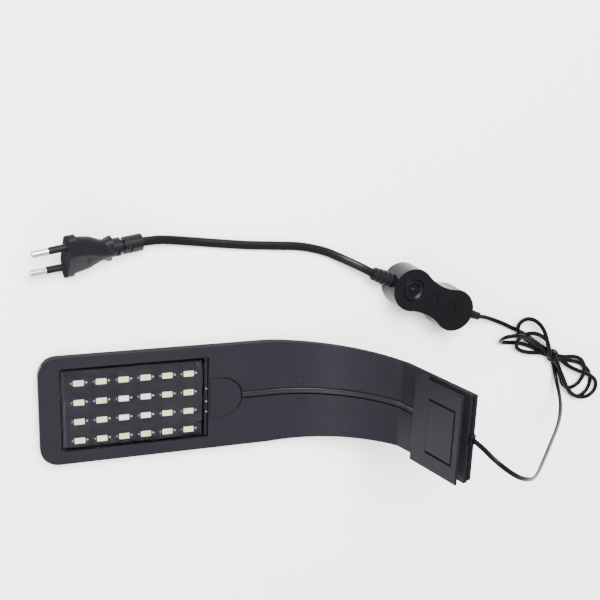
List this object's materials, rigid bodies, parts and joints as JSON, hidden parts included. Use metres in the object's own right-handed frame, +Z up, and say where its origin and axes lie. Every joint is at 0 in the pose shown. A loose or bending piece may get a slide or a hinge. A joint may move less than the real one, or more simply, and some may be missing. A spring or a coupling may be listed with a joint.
{
  "type": "led aquarium light",
  "caption": "Curved clip-on LED lamp for a glass tank's rim, with a cord, an in-line push switch and a two-pin plug.",
  "frame": {"origin": "bottom centre of the lamp's own box, without its cords, on the surface that the back of its head lies on", "axes": "+X along the head from its tip towards the clip, +Y across the head, +Z up, out of the light side of the head"},
  "size_m": [0.3746, 0.1354, 0.1196],
  "materials": {
    "housing": "fine satin texture, moulded charcoal ABS",
    "switch_case": "smooth moulded black with a soft gloss",
    "cord_sheath": "smooth black PVC",
    "soft_pvc": "matte black PVC",
    "board_mask": "black solder mask over an aluminium core",
    "white_tape": "matte double-sided tape",
    "black_screw": "black oxide",
    "led_white": "white moulded package",
    "phosphor_warm": "pale yellow phosphor gel",
    "phosphor_white": "white gel",
    "solder": "bright solder",
    "clear_acrylic": "clear acrylic with a polished edge",
    "wire_insulation": "thin PVC insulation",
    "inner_plastic": "plain moulded nylon",
    "spring_steel": "bright zinc plate",
    "nickel_brass": "nickel plate over brass",
    "circuit_board": "green solder mask",
    "winding_tape": "yellow polyester tape",
    "capacitor_sleeve": "shrink sleeve",
    "chip_epoxy": "black epoxy",
    "fuse_body": "brown sleeve"
  },
  "bodies": {
    "lamp": {"back_shell": "housing", "front_cover": "housing", "wire_cover": "housing", "led_board": "board_mask", "thermal_tape": "white_tape", "board_screws": "black_screw", "led_bodies": "led_white", "led_windows_warm": "phosphor_warm", "led_windows_white": "phosphor_white", "solder_pads": "solder", "lens_seal": "soft_pvc", "lens": "clear_acrylic", "core_wires": "wire_insulation", "arm_lead": "cord_sheath", "cord_gland": "soft_pvc", "clip_wall": "housing", "clip_plate": "housing", "dc_cord_a": "cord_sheath", "dc_hank": "cord_sheath", "hank_tie": "cord_sheath", "dc_cord_b": "cord_sheath", "dc_relief": "soft_pvc", "switch_base": "switch_case", "switch_lid": "switch_case", "button_collar": "switch_case", "button_spring": "spring_steel", "latch_switch": "inner_plastic", "driver_board": "circuit_board", "driver_transformer": "winding_tape", "driver_capacitor": "capacitor_sleeve", "driver_bridge": "chip_epoxy", "driver_fuse": "fuse_body", "switch_wires": "wire_insulation", "case_screws": "spring_steel", "ac_relief": "soft_pvc", "ac_cord": "cord_sheath", "plug_body": "soft_pvc", "plug_relief": "soft_pvc", "plug_insert": "inner_plastic", "plug_pins": "nickel_brass", "pin_sleeves": "soft_pvc"},
    "tongue": {"pressure_tongue": "housing"},
    "button": {"push_button": "switch_case", "switch_plunger": "inner_plastic"}
  },
  "joints": [
    {"name": "tongue_flex", "type": "hinge", "parent": "lamp", "child": "tongue", "pos_m": [0.09335, 0, 0.07745], "axis": [0, -1, 0], "range_deg": [0, 8], "stiffness_Nm_per_rad": 1},
    {"name": "button_press", "type": "slide", "parent": "lamp", "child": "button", "axis": [0, 0, -1], "range_m": [0, 0.0016], "stiffness_N_per_m": 400, "springref_m": -0.001, "deforming": ["button_spring"]}
  ]
}
